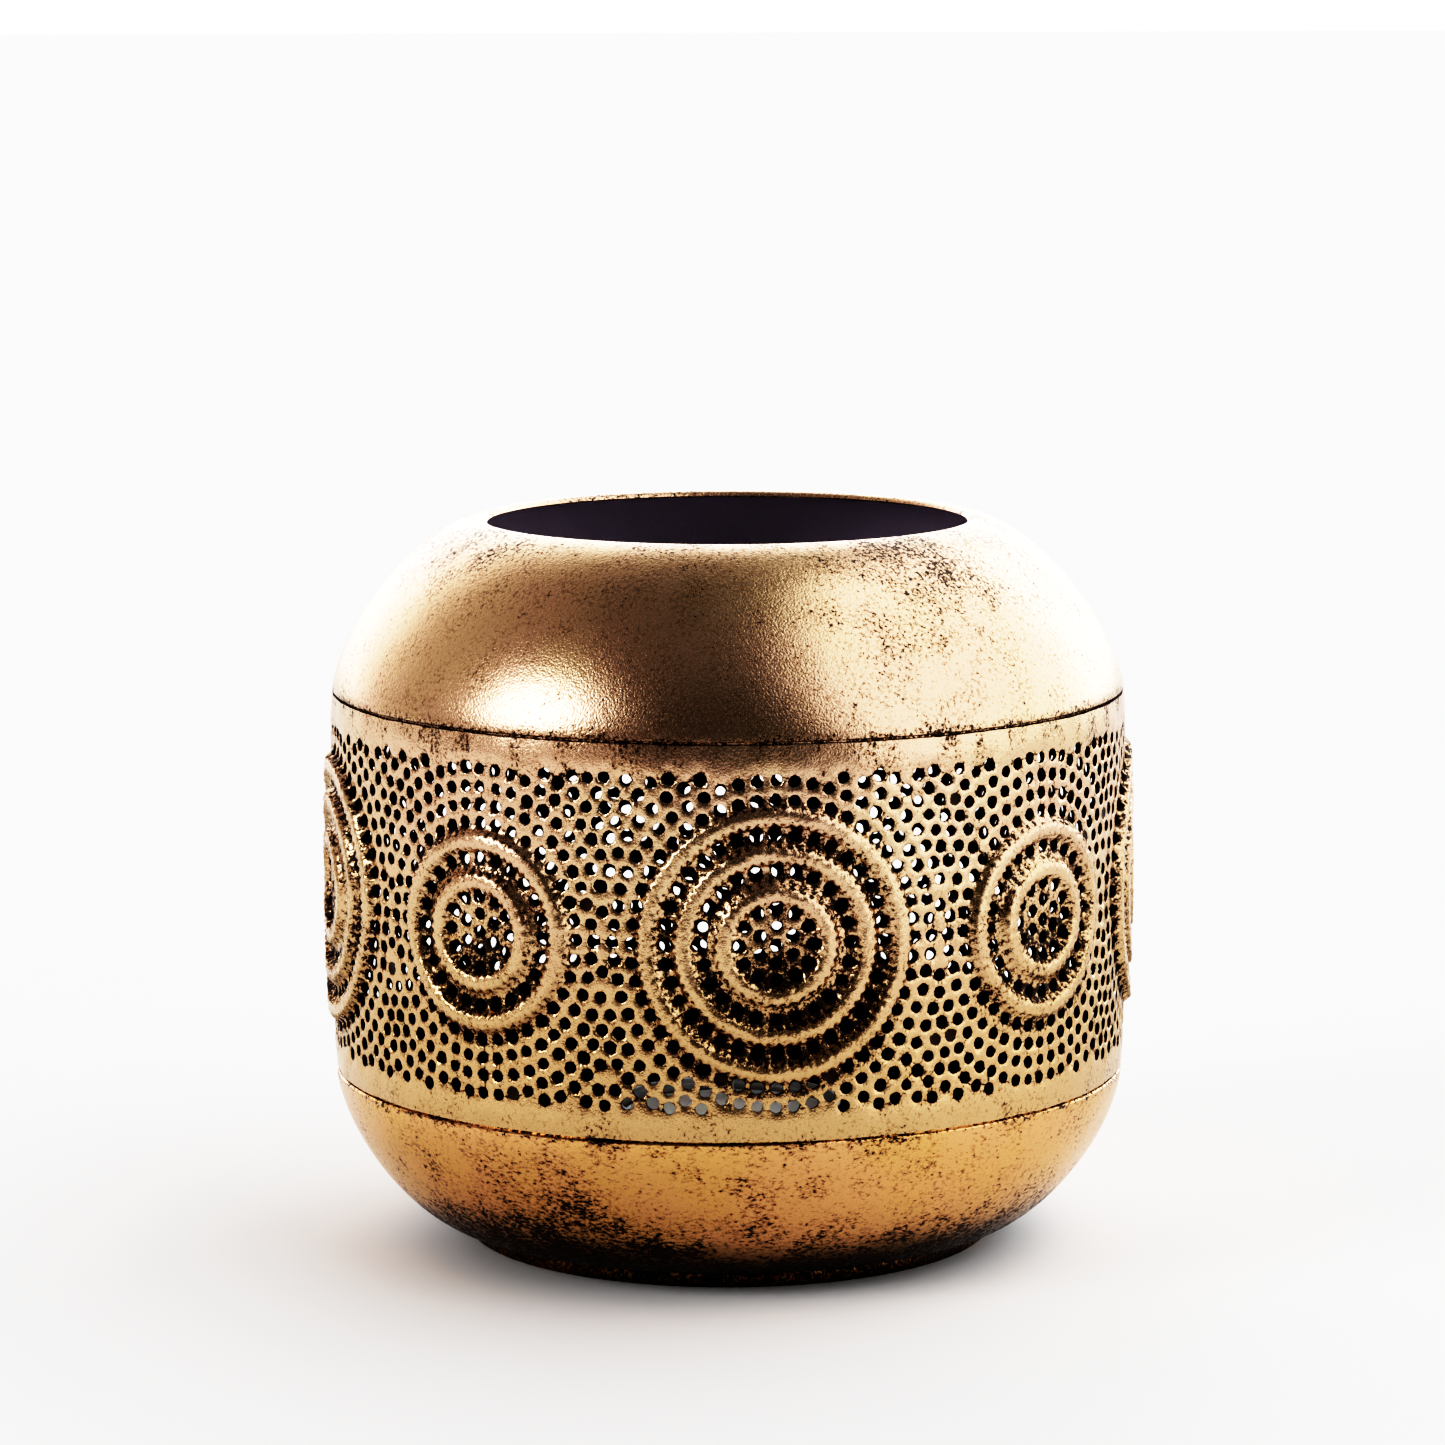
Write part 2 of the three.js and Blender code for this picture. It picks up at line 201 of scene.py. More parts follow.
# ---------------------------------------------------------------- material helpers
class Graph:
    """A material's node tree, with short calls for the nodes used here."""

    def __init__(self, name, holder=None):
        self.material = holder or bpy.data.materials.new(name)
        self.material.use_nodes = True
        self.nodes = self.material.node_tree.nodes
        self.links = self.material.node_tree.links
        self.shader = self.nodes.get("Principled BSDF")
        coordinates = self.nodes.new("ShaderNodeTexCoord")
        self.place = coordinates.outputs["Object"]
        self.direction = coordinates.outputs["Generated"]

    def put(self, socket, value):
        """Feed a socket from another node's output or with a fixed value."""
        if isinstance(value, bpy.types.NodeSocket):
            self.links.new(value, socket)
        else:
            socket.default_value = value

    def math(self, operation, a, b=0.0, clamp=False):
        node = self.nodes.new("ShaderNodeMath")
        node.operation = operation
        node.use_clamp = clamp
        self.put(node.inputs[0], a)
        self.put(node.inputs[1], b)
        return node.outputs[0]

    def noise(self, size, detail=2.0, rough=0.5, stretch=(1, 1, 1)):
        """Noise whose features are about size millimetres across."""
        scaled = self.nodes.new("ShaderNodeVectorMath")
        scaled.operation = "MULTIPLY"
        self.put(scaled.inputs[0], self.place)
        scaled.inputs[1].default_value = [s / (size * MM) for s in stretch]
        node = self.nodes.new("ShaderNodeTexNoise")
        self.put(node.inputs["Vector"], scaled.outputs[0])
        node.inputs["Scale"].default_value = 1.0
        node.inputs["Detail"].default_value = detail
        node.inputs["Roughness"].default_value = rough
        return node.outputs["Fac"]

    def step(self, value, low, high, to_low=0.0, to_high=1.0):
        """Smooth step of a value between two levels."""
        node = self.nodes.new("ShaderNodeMapRange")
        node.interpolation_type = "SMOOTHSTEP"
        for socket, item in zip(node.inputs[:5], (value, low, high, to_low, to_high)):
            self.put(socket, item)
        return node.outputs[0]

    def mix(self, share, first, second):
        """The first colour where share is 0, the second where it is 1."""
        node = self.nodes.new("ShaderNodeMix")
        node.data_type = "RGBA"
        self.put(node.inputs["Factor"], share)
        sockets = [s for s in node.inputs if s.type == "RGBA"]
        for socket, colour in zip(sockets, (first, second)):
            self.put(socket, (*colour, 1.0) if isinstance(colour, tuple) else colour)
        return [s for s in node.outputs if s.type == "RGBA"][0]

    def attribute(self, name):
        node = self.nodes.new("ShaderNodeAttribute")
        node.attribute_name = name
        return node.outputs["Fac"]

    def along(self, axis):
        """Millimetres along X, Y or Z from the middle of the foot."""
        node = self.nodes.new("ShaderNodeSeparateXYZ")
        self.put(node.inputs[0], self.place)
        return self.math("DIVIDE", node.outputs[axis], MM)

    def height(self):
        return self.along("Z")

    def bump(self, value, distance, strength):
        """Relief of the surface, its distance in millimetres."""
        node = self.nodes.new("ShaderNodeBump")
        node.inputs["Distance"].default_value = distance * MM
        node.inputs["Strength"].default_value = strength
        self.put(node.inputs["Height"], value)
        self.put(self.shader.inputs["Normal"], node.outputs[0])

    def set(self, **values):
        """Feed the shader's own sockets, a colour as a tuple of three."""
        for name, value in values.items():
            socket = self.shader.inputs[name.replace("_", " ").title().replace("Ior", "IOR")]
            self.put(socket, (*value, 1.0) if isinstance(value, tuple) else value)


YELLOW_GOLD = (0.66, 0.481, 0.322)
ROSE_GOLD = (0.66, 0.460, 0.330)
ORANGE_GOLD = (0.66, 0.410, 0.205)
COPPER_GOLD = (0.66, 0.400, 0.225)
# painted shade: the colour of the band's leaf low down
LOW_SHADE_GOLD = (0.565, 0.392, 0.230)
PATINA = (0.030, 0.014, 0.007)
BROWN_PATINA = (0.17, 0.085, 0.032)


def antique_gold(name, gold, blush, dark_share, speck=0.62, stretch=(1.0, 1.0, 1.0), low_shade=None,
                 clump=0.42):
    """Gold leaf finish over sheet metal: sandy grain, small dark flecks, brown stains.

    dark_share(graph) gives how dense the patina's flecks are and how much of the leaf is made
    evenly darker as painted shade, each from 0 to 1. stretch below 1 draws the flecks out along an
    axis. The colour given after stretch is the leaf's colour low down on the band, painted darker
    there as shade, if it changes. clump is how far flecks gather.
    """
    g = Graph(name)
    share, painted_shade = dark_share(g)
    hue = g.step(g.noise(24.0, 3.0), 0.40, 0.62)
    leaf = g.mix(hue, gold, blush)
    # painted shade: the band's leaf turns darker low down, as the floor's shade would show in it
    if low_shade:
        lowness = g.step(g.height(), BAND_HIGH - 14.0, BAND_LOW + 8.0)
        leaf = g.mix(lowness, leaf, low_shade)
    drift = g.math("SUBTRACT", g.noise(6.5, 3.0, 0.55), 0.5)
    fleck = g.noise(speck, 3.0, 0.72, stretch)
    level = g.math("ADD", fleck, g.math("MULTIPLY", drift, clump))
    edge = g.math("SUBTRACT", 0.735, g.math("MULTIPLY", share, 0.46))
    dark = g.step(g.math("SUBTRACT", level, edge), -0.012, 0.03)
    stain = g.step(g.math("SUBTRACT", level, edge), -0.16, 0.0)
    tinted = g.mix(g.math("MULTIPLY", stain, 0.5), leaf, BROWN_PATINA)
    # painted shade: the leaf mixed evenly towards dark patina colour, as much as dark_share asks
    tinted = g.mix(painted_shade, tinted, PATINA)
    g.set(base_color=g.mix(dark, tinted, PATINA))
    g.set(metallic=g.step(dark, 0.0, 1.0, 1.0, 0.3))
    grain = g.noise(0.36, 1.5, 0.5)
    g.set(roughness=g.math("ADD", g.step(grain, 0.3, 0.7, 0.20, 0.28),
                           g.math("MULTIPLY", dark, 0.26)))
    relief = g.math("ADD", grain, g.math("MULTIPLY", g.noise(1.1, 2.0), 0.45))
    g.bump(g.math("SUBTRACT", relief, g.math("MULTIPLY", dark, 0.35)), 0.07, 0.7)
    return g.material


def near(g, value, centre, reach):
    """1 at the centre value, falling to 0 at reach from it."""
    away = g.math("ABSOLUTE", g.math("SUBTRACT", value, centre))
    return g.step(away, 0.0, reach, 1.0, 0.0)


def side_worn(g, centre, reach):
    """1 on the front at a place across the shell, in millimetres, falling to 0 at reach."""
    return g.math("MULTIPLY", near(g, g.along("X"), centre, reach), g.step(g.along("Y"), 5, -25))


def dome_patina(g):
    height = g.height()
    patchy = g.step(g.noise(32.0, 1.0), 0.40, 0.62, 0.30, 1.0)
    rim = g.math("MULTIPLY", g.step(height, CREST - 15.0, CREST - 1.0, 0.0, 0.23), patchy)
    right = g.math("MULTIPLY", side_worn(g, 34.0, 34.0), g.step(height, 88.0, 110.0, 0.04, 0.11))
    seam = g.math("MULTIPLY", near(g, height, BAND_HIGH, 2.2), 0.36)
    return g.math("ADD", g.math("ADD", rim, right), g.math("ADD", seam, 0.145)), 0.0


def band_patina(g):
    height = g.height()
    low = g.math("MULTIPLY", near(g, height, BAND_LOW, 4.0), 0.08)
    drips = g.step(g.noise(3.2, 2.0, 0.6, (1, 1, 0.22)), 0.42, 0.62, 0.04, 0.34)
    high = g.math("MULTIPLY", near(g, height, BAND_HIGH, 9.0), drips)
    rim = g.math("MULTIPLY", g.math("POWER", g.attribute("rim"), 5.0), 0.42)
    groove = g.math("MULTIPLY", g.attribute("groove"), 0.52)
    spread = g.math("ADD", g.math("ADD", low, high), g.math("ADD", rim, groove))
    return g.math("ADD", spread, 0.08), 0.0


def bowl_patina_and_shade(g):
    height = g.height()
    # flecks denser towards the underside
    low = g.step(height, BOWL_UNDERSIDE + 2.0, BOWL_UNDERSIDE + 15.0, 0.34, 0.0)
    left = g.math("MULTIPLY", side_worn(g, -28.0, 25.0), g.step(height, 27.0, 15.0, 0.05, 0.27))
    seam = g.math("MULTIPLY", near(g, height, BAND_LOW, 2.0), 0.26)
    share = g.math("ADD", g.math("ADD", low, left), g.math("ADD", seam, 0.16))
    # painted shade: the leaf goes smoothly dark over the last ten millimetres above the underside,
    # along a wavy line
    wavy = g.math("ADD", height, g.math("MULTIPLY", g.noise(14.0, 3.0), 3.0))
    return share, g.step(wavy, BOWL_UNDERSIDE + 10.5, BOWL_UNDERSIDE + 2.5, 0.0, 0.98)


def inside_metal():
    """Unplated inside of the sheet: sooty dark brown, painted pale towards the mouth as light
    falling in there.
    """
    g = Graph("inside_metal")
    soot = g.step(g.noise(6.0, 4.0, 0.6), 0.35, 0.7)
    sooty = g.mix(soot, (0.032, 0.022, 0.018), (0.065, 0.045, 0.036))
    # painted light: the inside turns pale from just below the band's top edge up into the dome, as
    # if lit through the mouth
    painted_mouth_light = g.step(g.height(), BAND_HIGH - 4.0, BAND_HIGH + 14.0)
    g.set(base_color=g.mix(painted_mouth_light, sooty, (0.74, 0.66, 0.80)))
    g.set(metallic=0.3)
    g.set(specular_ior_level=0.2)
    g.set(roughness=g.step(g.noise(0.8, 3.0), 0.3, 0.7, 0.5, 0.75))
    g.bump(g.noise(0.6, 3.0), 0.08, 0.5)
    return g.material


def foil():
    """Drawn aluminium of the tealight's cup, with faint drawing lines, painted darker than bare
    foil as the shade inside the holder.
    """
    g = Graph("tealight_foil")
    lines = g.noise(0.5, 2.0, 0.5, stretch=(0.05, 0.05, 1.0))
    # painted shade: a dull grey, much darker than bright aluminium
    g.set(base_color=g.mix(g.noise(2.0, 3.0), (0.50, 0.51, 0.53), (0.60, 0.60, 0.61)))
    g.set(metallic=1.0)
    g.set(roughness=g.step(lines, 0.3, 0.7, 0.24, 0.40))
    g.bump(lines, 0.03, 0.4)
    return g.material


def paraffin():
    """Translucent white wax, clouded, with a skin that is not quite flat."""
    g = Graph("paraffin")
    g.set(base_color=g.mix(g.noise(4.0, 3.0), (0.86, 0.83, 0.75), (0.92, 0.90, 0.84)))
    g.set(roughness=g.step(g.noise(1.5, 3.0), 0.3, 0.7, 0.30, 0.48))
    g.set(subsurface_weight=0.35)
    g.set(subsurface_scale=0.002)
    g.bump(g.noise(2.5, 3.0), 0.12, 0.4)
    return g.material


def cotton():
    """Braided cotton of the wick, stiff with wax."""
    g = Graph("wick_cotton")
    strand = g.noise(0.25, 2.0, 0.5, stretch=(1.0, 1.0, 0.4))
    g.set(base_color=g.mix(strand, (0.62, 0.56, 0.44), (0.86, 0.83, 0.74)))
    g.set(roughness=g.step(strand, 0.3, 0.7, 0.65, 0.9))
    g.bump(strand, 0.08, 0.7)
    return g.material


def tinplate():
    """Thin bright tinplate of the wick tab."""
    g = Graph("tinplate")
    g.set(base_color=g.mix(g.noise(1.0, 3.0), (0.60, 0.60, 0.61), (0.72, 0.72, 0.72)))
    g.set(metallic=1.0)
    g.set(roughness=g.step(g.noise(0.5, 2.0), 0.3, 0.7, 0.25, 0.42))
    g.bump(g.noise(0.5, 2.0), 0.02, 0.4)
    return g.material


# ---------------------------------------------------------------- the pierced band
def medallion_places():
    """(distance round the band from the front, is it large) of each medallion."""
    places = []
    for step in MEDALLION_STEPS:
        angle = MEDALLION_FIRST + step * MEDALLION_PITCH
        places.append((math.radians(angle) * BAND_RADIUS, step % 2 == 0))
    return places


MEDALLIONS = medallion_places()
STRIP_START = math.radians(LAP_CENTRE - LAP_WIDTH / 2 - 360) * BAND_RADIUS
STRIP_END = math.radians(LAP_CENTRE + LAP_WIDTH / 2) * BAND_RADIUS
LAP_LENGTH = math.radians(LAP_WIDTH) * BAND_RADIUS


def ring_list(large):
    """(radius, holes) of every ring of holes of a medallion."""
    rings = list(HEART_RINGS)
    radius, pitch = LARGE_FIELD if large else SMALL_FIELD
    while radius < FIELD_REACH:
        rings.append((radius, 4 * round(math.tau * radius / HOLE_PITCH / 4)))
        radius += pitch
    return rings


def in_own_cell(u, v, home):
    """True where a point is nearer to its own medallion than to any other."""
    def reach(place):
        centre, large = place
        return math.hypot(u - centre, v) - (LARGE_LEAD if large else 0.0)

    own = reach(MEDALLIONS[home])
    return all(own <= reach(place) for place in MEDALLIONS)


def punch_holes():
    """(u, v, radius, is it pierced) of every hole: u round the band, v up from its middle."""
    holes = []
    for home, (centre, large) in enumerate(MEDALLIONS):
        for radius, count in ring_list(large):
            for index in range(count):
                angle = math.tau * index / count + math.pi / 2
                u = centre + radius * math.cos(angle)
                v = radius * math.sin(angle)
                if not in_field(u, v) or not in_own_cell(u, v, home):
                    continue
                if all(math.hypot(u - h[0], v - h[1]) > LEAST_PITCH for h in holes[-900:]):
                    holes.append(punched(u, v))
    return settled(holes + gap_holes(holes))


def in_field(u, v):
    """True inside the punched field, clear of the plain borders and the lap seam."""
    plain = LAP_LENGTH + math.radians(1.6) * BAND_RADIUS
    return abs(v) < FIELD_HALF_HEIGHT and STRIP_START + plain < u < STRIP_END - plain


def punched(u, v):
    """One hole, struck by hand a little off its mark."""
    size = HOLE_RADIUS + CHANCE.gauss(0, 0.045)
    pierced = CHANCE.random() > BLIND_SHARE
    return (u + CHANCE.gauss(0, PUNCH_SCATTER), v + CHANCE.gauss(0, PUNCH_SCATTER), size, pierced)


def gap_holes(holes):
    """Extra holes where the medallions' ring systems meet and leave bare metal."""
    ridges = [(centre, r) for centre, large in MEDALLIONS for r in ridges_of(large)]
    centres = [(u, v) for u, v, _, _ in holes]
    extra = []
    step = 0.35
    rows = int(FIELD_HALF_HEIGHT / step)
    for reach in (2.9, 2.65, 2.45, 2.3):
        for row in range(-rows, rows + 1):
            v = row * step
            beside = [c for c in centres if abs(c[1] - v) < reach]
            u = STRIP_START
            while u < STRIP_END:
                u += step
                blocked = [c[0] for c in beside if math.hypot(c[0] - u, c[1] - v) < reach]
                if blocked:
                    u = max(u, min(blocked))
                    continue
                on_ridge = any(abs(math.hypot(u - m, v) - r) < 2.6 for m, r in ridges)
                if on_ridge or not in_field(u, v):
                    continue
                extra.append(punched(u, v))
                centres.append((u, v))
                beside.append((u, v))
    return extra


def settled(holes):
    """The holes of the open field nudged apart, as they are spaced by eye between the rings."""
    free = []
    for u, v, _, _ in holes:
        radius, _, large = nearest_medallion(u, v)
        free.append(radius > ridges_of(large)[-1] + 3.4)
    places = [[u, v] for u, v, _, _ in holes]
    for _ in range(8):
        tree = tree_of(places)
        for index, place in enumerate(places):
            if not free[index]:
                continue
            u, v = place
            for other, number, away in tree.find_range((u, v, 0), EVEN_PITCH):
                if number != index and away > 0:
                    push = 0.3 * (EVEN_PITCH - away) / away
                    place[0] += (u - other.x) * push
                    place[1] += (v - other.y) * push
            if not in_field(*place):
                place[:] = [u, v]
    return [(u, v, size, pierced) for (u, v), (_, _, size, pierced) in zip(places, holes)]


def tree_of(places):
    """Search tree over the first two coordinates of each place."""
    tree = KDTree(len(places))
    for index, place in enumerate(places):
        tree.insert((place[0], place[1], 0), index)
    tree.balance()
    return tree


def ridges_of(large):
    return LARGE_RIDGES if large else SMALL_RIDGES


def nearest_medallion(u, v):
    """(distance to the nearest medallion's centre, angle there, is it large)."""
    best = min(MEDALLIONS, key=lambda m: math.hypot(u - m[0], v) - (LARGE_LEAD if m[1] else 0))
    return math.hypot(u - best[0], v), math.atan2(v, u - best[0]), best[1]


def ridge_at(radius, angle, large):
    """Height of the pressed rings at a distance and angle from a medallion's centre."""
    for crest in ridges_of(large):
        down = (abs(radius - crest) - RIDGE_CREST) / (RIDGE_FOOT - RIDGE_CREST)
        if down < 1:
            down = max(0.0, down)
            height = RIDGE_HEIGHT * (1 - down * down * (3 - 2 * down))
            flank = math.sin(math.pi * min(1.0, 0.15 + 0.8 * down)) if down > 0 else 0.0
            return height + PLEAT_DEPTH * flank * math.cos(pleat_count(crest) * angle)
    return 0.0


def pleat_count(crest):
    """How many pleats go round a pressed ring."""
    return round(math.tau * crest / PLEAT_PITCH)


def band_height(u, v):
    """How far the band's face stands out of its plain cylinder."""
    radius, angle, large = nearest_medallion(u, v)
    swell_reach = 23.5 if large else 17.5
    swell = 0.45 * max(0.0, 1 - (radius / swell_reach) ** 2)
    border = max(0.0, abs(v) - FIELD_HALF_HEIGHT) / (BAND_HIGH - BAND_MIDDLE - FIELD_HALF_HEIGHT)
    swell -= 0.42 * border * border
    dents = 0.07 * math.sin(u * 0.21 + 1.0) * math.sin(v * 0.17 + 0.6)
    dents += 0.04 * math.sin(u * 0.53 + v * 0.31) + 0.03 * math.sin(u * 0.87 - v * 0.61 + 2.0)
    return ridge_at(radius, angle, large) + swell + dents


def groove_share(u, v):
    """1 in the grooves inside a medallion, 0 on its crests and in the open field: patina in the
    hollows, with painted shade on the ring flanks that face up.
    """
    radius, angle, large = nearest_medallion(u, v)
    ridges = ridges_of(large)
    under = max(0.0, -math.sin(angle))
    inside = min(1.0, max(0.0, (ridges[-1] + 3.1 + 1.8 * under - radius) / 1.5))
    crest = min(ridges, key=lambda r: abs(radius - r))
    away = abs(radius - crest)
    low = min(1.0, max(0.15, (away - RIDGE_CREST + 0.1) / 0.45))
    ledge = math.sin(angle) * (1 if crest < radius else -1)
    pleat = 0.5 - 0.5 * math.cos(pleat_count(crest) * angle) if away < RIDGE_FOOT + 0.1 else 0.85
    heart = 0.78 if radius < LARGE_RIDGES[0] - RIDGE_FOOT else 1.0
    # painted shade: darker on the ring flanks that face up, lighter on those that face down; patina
    # in the pleats' valleys; more on the lower half of each medallion
    groove_patina_and_shade = 0.25 + 0.25 * ledge + 0.75 * pleat + 0.25 * under
    return inside * low * heart * groove_patina_and_shade * (1.0 if large else 0.85)


class Sheet:
    """Points and constraint edges of the flat strip before it is rolled."""

    def __init__(self):
        self.points = []
        self.sunk = []
        self.rim = []
        self.hole = []
        self.edges = []
        self.outline = 0

    def add(self, u, v, sunk=0.0, rim=0.0, hole=-1):
        self.points.append((u, v))
        self.sunk.append(sunk)
        self.rim.append(rim)
        self.hole.append(hole)
        return len(self.points) - 1

    def loop(self, first, count):
        self.edges += [(first + i, first + (i + 1) % count) for i in range(count)]


def add_outline(sheet):
    """The strip's own edge, cut by hand and so not quite straight."""
    low, high = BAND_LOW - BAND_MIDDLE, BAND_HIGH - BAND_MIDDLE
    along = int(STRIP_END - STRIP_START)
    up = int((high - low) / 1.05)
    length, width = STRIP_END - STRIP_START, high - low
    first = len(sheet.points)
    corners = [(STRIP_START + length * i / along, low, 1) for i in range(along)]
    corners += [(STRIP_END, low + width * i / up, 0) for i in range(up)]
    corners += [(STRIP_END - length * i / along, high, -1) for i in range(along)]
    corners += [(STRIP_START, high - width * i / up, 0) for i in range(up)]
    for u, v, inward in corners:
        ragged = abs(CHANCE.gauss(0, 0.05)) + 0.06 * (1 + math.sin(u * 0.31) * math.sin(u * 0.113))
        sheet.add(u, v + inward * ragged, rim=0.35 if inward else 1.0)
    sheet.loop(first, len(corners))
    sheet.outline = len(corners)


def add_holes(sheet, holes):
    """Ragged round rims, drawn in a little by the punch; a blind one is only a dimple."""
    for number, (u, v, size, pierced) in enumerate(holes):
        first = len(sheet.points)
        turn = CHANCE.uniform(0, math.tau)
        for side in range(HOLE_SIDES):
            angle = turn + math.tau * side / HOLE_SIDES
            reach = size * (1 + CHANCE.uniform(-0.07, 0.07))
            sheet.add(u + reach * math.cos(angle), v + reach * math.sin(angle),
                      sunk=-0.20, rim=1.0 if pierced else 1.2, hole=number if pierced else -1)
        if pierced:
            sheet.loop(first, HOLE_SIDES)
        else:
            sheet.add(u, v, sunk=-0.38, rim=1.2)


def add_ridge_points(sheet, clear):
    """Points along every pressed ring, two to each pleat of its flanks."""
    for centre, large in MEDALLIONS:
        for crest in ridges_of(large):
            count = 2 * pleat_count(crest)
            for offset in RIDGE_SECTION:
                for index in range(count):
                    angle = math.tau * index / count
                    u = centre + (crest + offset) * math.cos(angle)
                    v = (crest + offset) * math.sin(angle)
                    if clear(u, v, HOLE_CLEARANCE):
                        sheet.add(u, v)


def add_web_points(sheet, holes, clear):
    """The raised middle of the web between neighbouring holes."""
    centres = [Vector((h[0], h[1])) for h in holes]
    _, edges, faces, _, _, _ = delaunay_2d_cdt(centres, [], [], 0, 1e-6, False)
    for group in [*edges, *faces]:
        spots = [centres[i] for i in group]
        span = max((a - b).length for a in spots for b in spots)
        middle = sum(spots, Vector((0, 0))) / len(spots)
        if span < 4.6 and clear(middle.x, middle.y, HOLE_CLEARANCE):
            sheet.add(middle.x, middle.y)


def add_filler_points(sheet, clear):
    """An even spread of points wherever the strip is still empty."""
    tree = tree_of(sheet.points)
    pitch, row_pitch = 1.15, 1.15 * 0.866
    rows = int((BAND_HIGH - BAND_LOW) / row_pitch)
    for row in range(1, rows):
        v = BAND_LOW - BAND_MIDDLE + row * row_pitch
        for column in range(int((STRIP_END - STRIP_START) / pitch)):
            u = STRIP_START + (column + 0.5 + 0.5 * (row % 2)) * pitch
            if tree.find((u, v, 0))[2] > 0.72 and clear(u, v, HOLE_CLEARANCE):
                sheet.add(u, v)


def strip_triangles(sheet, count=None):
    """Triangles over the first count points of the strip, the holes left open."""
    points = [Vector(p) for p in sheet.points[:count]]
    found = delaunay_2d_cdt(points, sheet.edges, [], 1, 1e-6, True)
    names = [group[0] for group in found[3]]
    triangles = []
    for face in found[2]:
        corners = [names[i] for i in face]
        home = {sheet.hole[i] for i in corners}
        if len(home) == 1 and -1 not in home:
            continue
        if max(corners) < sheet.outline and outside(*(points[i] for i in sorted(corners))):
            continue
        triangles.append(corners)
    return triangles


def outside(a, b, c):
    """True for a triangle between three corners of the outline that lies beyond the outline."""
    return (b - a).cross(c - a) <= 0


def rolled(u, v, out):
    """A point of the flat strip rolled into the band, out from its plain face."""
    overlap = (u - (STRIP_END - LAP_LENGTH - 2.2)) / 2.2
    step = min(1.0, max(0.0, overlap))
    radius = BAND_RADIUS + out + (SHEET + 0.08) * step * step * (3 - 2 * step)
    angle = u / BAND_RADIUS
    return (radius * math.sin(angle), -radius * math.cos(angle), BAND_MIDDLE + v)


def clearance(holes):
    """A test whether a point lies on the strip, at least a margin away from every hole."""
    tree = tree_of(holes)

    def clear(u, v, margin):
        inside = STRIP_START + 0.5 < u < STRIP_END - 0.5
        inside = inside and abs(v) < (BAND_HIGH - BAND_LOW) / 2 - 0.6
        _, index, distance = tree.find((u, v, 0))
        return inside and distance > holes[index][2] + margin

    return clear


def pierced_band(materials):
    """The whole strip: pierced, embossed, rolled and lapped, with its real thickness.

    The inner face only needs the outline's and the holes' points, which come first.
    """
    holes = punch_holes()
    clear = clearance(holes)
    sheet = Sheet()
    add_outline(sheet)
    add_holes(sheet, holes)
    coarse = len(sheet.points)
    add_web_points(sheet, holes, clear)
    add_ridge_points(sheet, clear)
    add_filler_points(sheet, clear)

    heights = [band_height(u, v) for u, v in sheet.points]
    vertices = []
    for (u, v), height, sunk in zip(sheet.points, heights, sheet.sunk):
        vertices.append(rolled(u, v, height + sunk))
    for (u, v), height, sunk in zip(sheet.points[:coarse], heights, sheet.sunk):
        vertices.append(rolled(u, v, min(height, 0.6) + sunk - SHEET))

    shift = len(sheet.points)
    outer = strip_triangles(sheet)
    inner = [[i + shift for i in reversed(t)] for t in strip_triangles(sheet, coarse)]
    walls = [(b, a, a + shift, b + shift) for a, b in open_edges(outer)]
    piece = make_piece("pierced_band", vertices, [*outer, *inner, *walls], materials, "holder",
                       "perforated_band", smooth=62)
    inside = [0] * len(outer) + [1] * (len(inner) + len(walls))
    piece.data.polygons.foreach_set("material_index", inside)
    grooves = [groove_share(u, v) for u, v in sheet.points]
    paint(piece, "rim", sheet.rim + sheet.rim[:coarse])
    paint(piece, "groove", grooves + grooves[:coarse])


def open_edges(triangles):
    """Directed edges that only one triangle has."""
    directed = {(t[i], t[(i + 1) % 3]) for t in triangles for i in range(3)}
    return sorted((a, b) for a, b in directed if (b, a) not in directed)


def paint(piece, name, values):
    """A number at every vertex, for the materials to read."""
    layer = piece.data.attributes.new(name, "FLOAT", "POINT")
    layer.data.foreach_set("value", np.asarray(values, np.float32))


# ---------------------------------------------------------------- the spun shells
def spun_dome(gold, dark):
    """Dome: collar in the band, joggle, shoulder, and the lip turned in round the mouth."""
    foot = BAND_HIGH + SEAM
    lip = (CREST_RADIUS, CREST - LIP_RADIUS)
    outside = shell_curve((DOME_RADIUS, foot + 0.25), (CREST_RADIUS, CREST), DOME_FULLNESS, 46)
    inside = shell_curve((DOME_RADIUS - SHEET, foot + SHEET), (CREST_RADIUS, CREST - SHEET),
                         DOME_FULLNESS, 30)[::-1]
    outline = [
        (SPIGOT_RADIUS, DOME_COLLAR),
        (SPIGOT_RADIUS, foot),
        (DOME_RADIUS - 0.25, foot),
        *outside,
        *arc(lip, LIP_RADIUS, 100, 150, 5),
        *arc(lip, LIP_RADIUS - SHEET, 150, 100, 4),
        *inside,
        (SPIGOT_RADIUS - SHEET, foot + SHEET),
        (SPIGOT_RADIUS - SHEET, DOME_COLLAR),
    ]
    sides = 240
    vertices, faces = turned(outline, sides, hand_spun(0.16, 3))
    piece = make_piece("spun_dome", vertices, faces, [gold, dark], "holder",
                       "upper_dome")
    gilded = 3 + len(outside) + 6  # bands of faces up to the end of the lip
    index = [0 if face // sides < gilded else 1 for face in range(len(faces))]
    piece.data.polygons.foreach_set("material_index", index)


